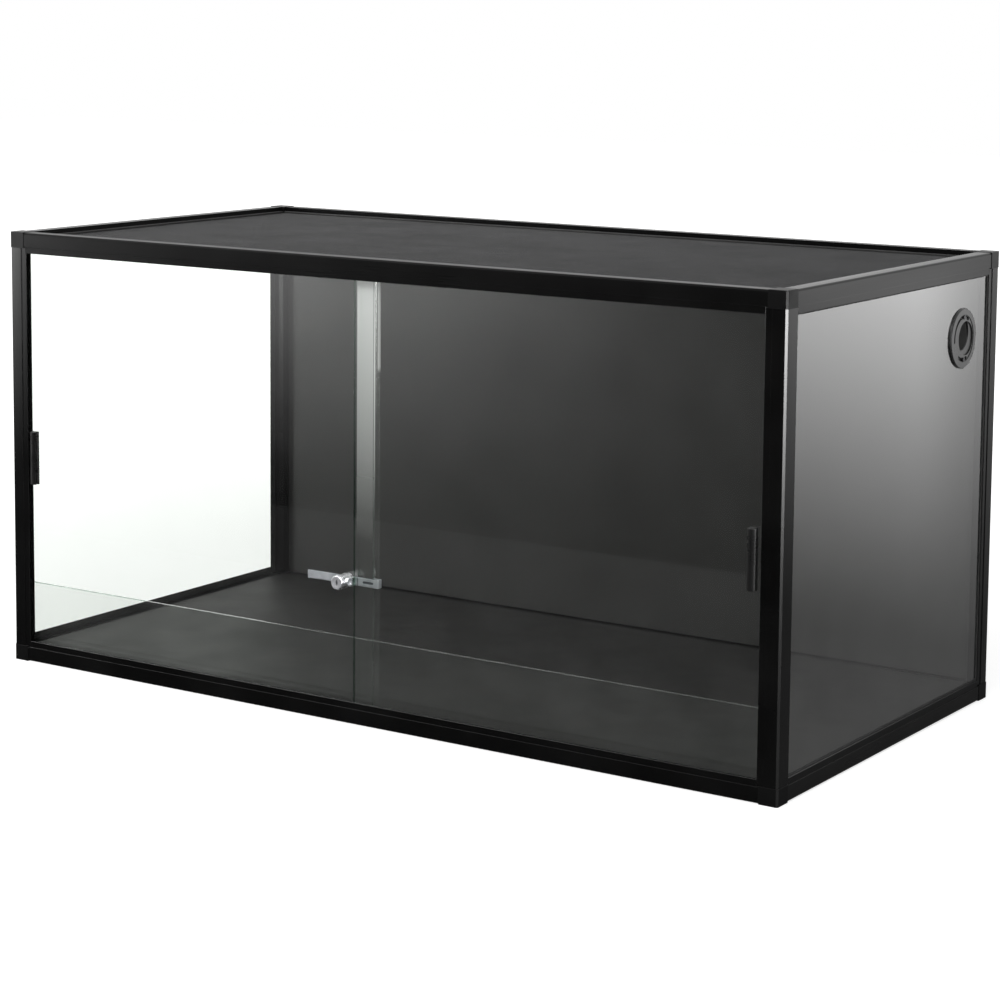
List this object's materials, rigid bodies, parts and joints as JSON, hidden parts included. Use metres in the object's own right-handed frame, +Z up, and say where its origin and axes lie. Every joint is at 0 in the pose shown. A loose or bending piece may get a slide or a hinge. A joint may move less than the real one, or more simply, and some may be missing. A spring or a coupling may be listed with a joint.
{
  "type": "reptile terrarium",
  "caption": "Black framed glass terrarium with overlapping sliding front doors, a clip-on ratchet lock, a mesh top, glass sides and a round turning side vent.",
  "frame": {"origin": "on the floor, at the centre of the four corner soles", "axes": "+X along the width to the viewer's right, +Y from the doors to the back, +Z up"},
  "size_m": [1.219, 0.6238, 0.61],
  "materials": {
    "frame": "satin black powder coat on extruded aluminium",
    "connector": "moulded, lightly textured",
    "track": "extruded",
    "door_glass": "clear float glass with polished edges",
    "side_glass": "clear float glass",
    "edge_strip": "clear extruded strip",
    "handle": "satin moulded",
    "lock_steel": "stamped and plated strip",
    "lock_chrome": "bright chrome plate",
    "gasket": "extruded strip",
    "back_board": "fine orange peel",
    "base_board": "fine orange peel",
    "screen_trim": "satin grey",
    "screen_mesh": "woven wire, dark coated",
    "vent_plastic": "moulded",
    "vent_screw": "zinc plated"
  },
  "bodies": {
    "frame": {"back_panel": "back_board", "back_panel_gasket": "gasket", "base_panel": "base_board", "bottom_connector_front_left": "connector", "bottom_connector_front_right": "connector", "bottom_connector_rear_left": "connector", "bottom_connector_rear_right": "connector", "bottom_rail_front": "frame", "bottom_rail_left": "frame", "bottom_rail_rear": "frame", "bottom_rail_right": "frame", "door_track_bottom": "track", "door_track_top": "track", "left_glass_gasket": "gasket", "left_side_glass": "side_glass", "post_front_left": "frame", "post_front_right": "frame", "post_rear_left": "frame", "post_rear_right": "frame", "right_glass_gasket": "gasket", "right_side_glass": "side_glass", "screen_bead": "screen_trim", "screen_frame": "screen_trim", "screen_mesh": "screen_mesh", "substrate_dam": "side_glass", "top_connector_front_left": "connector", "top_connector_front_right": "connector", "top_connector_rear_left": "connector", "top_connector_rear_right": "connector", "top_rail_front": "frame", "top_rail_left": "frame", "top_rail_rear": "frame", "top_rail_right": "frame", "vent_clamp_ring": "vent_plastic", "vent_outer_ring": "vent_plastic", "vent_screws": "vent_screw"},
    "left_door": {"left_door_glass": "door_glass", "left_door_edge_strip": "edge_strip", "left_door_handle": "handle", "lock_bar": "lock_steel"},
    "right_door": {"right_door_glass": "door_glass", "right_door_handle": "handle"},
    "lock_body": {"lock_barrel": "lock_chrome"},
    "key_plug": {"lock_plug": "lock_chrome"},
    "vent_shutter": {"vent_shutter_disc": "vent_plastic"}
  },
  "joints": [
    {"name": "left_door_slide", "type": "slide", "parent": "frame", "child": "left_door", "axis": [1, 0, 0], "range_m": [0, 0.553]},
    {"name": "right_door_slide", "type": "slide", "parent": "frame", "child": "right_door", "axis": [1, 0, 0], "range_m": [-0.541, 0]},
    {"name": "lock_slide", "type": "slide", "parent": "right_door", "child": "lock_body", "axis": [-1, 0, 0], "range_m": [0, 0.051]},
    {"name": "lock_plug_turn", "type": "hinge", "parent": "lock_body", "child": "key_plug", "pos_m": [-0.0268, -0.31, 0.1883], "axis": [0, -1, 0], "range_deg": [-90, 0]},
    {"name": "vent_shutter_turn", "type": "hinge", "parent": "frame", "child": "vent_shutter", "pos_m": [0.606, 0.198, 0.503], "axis": [1, 0, 0], "range_deg": [-20, 30]}
  ]
}
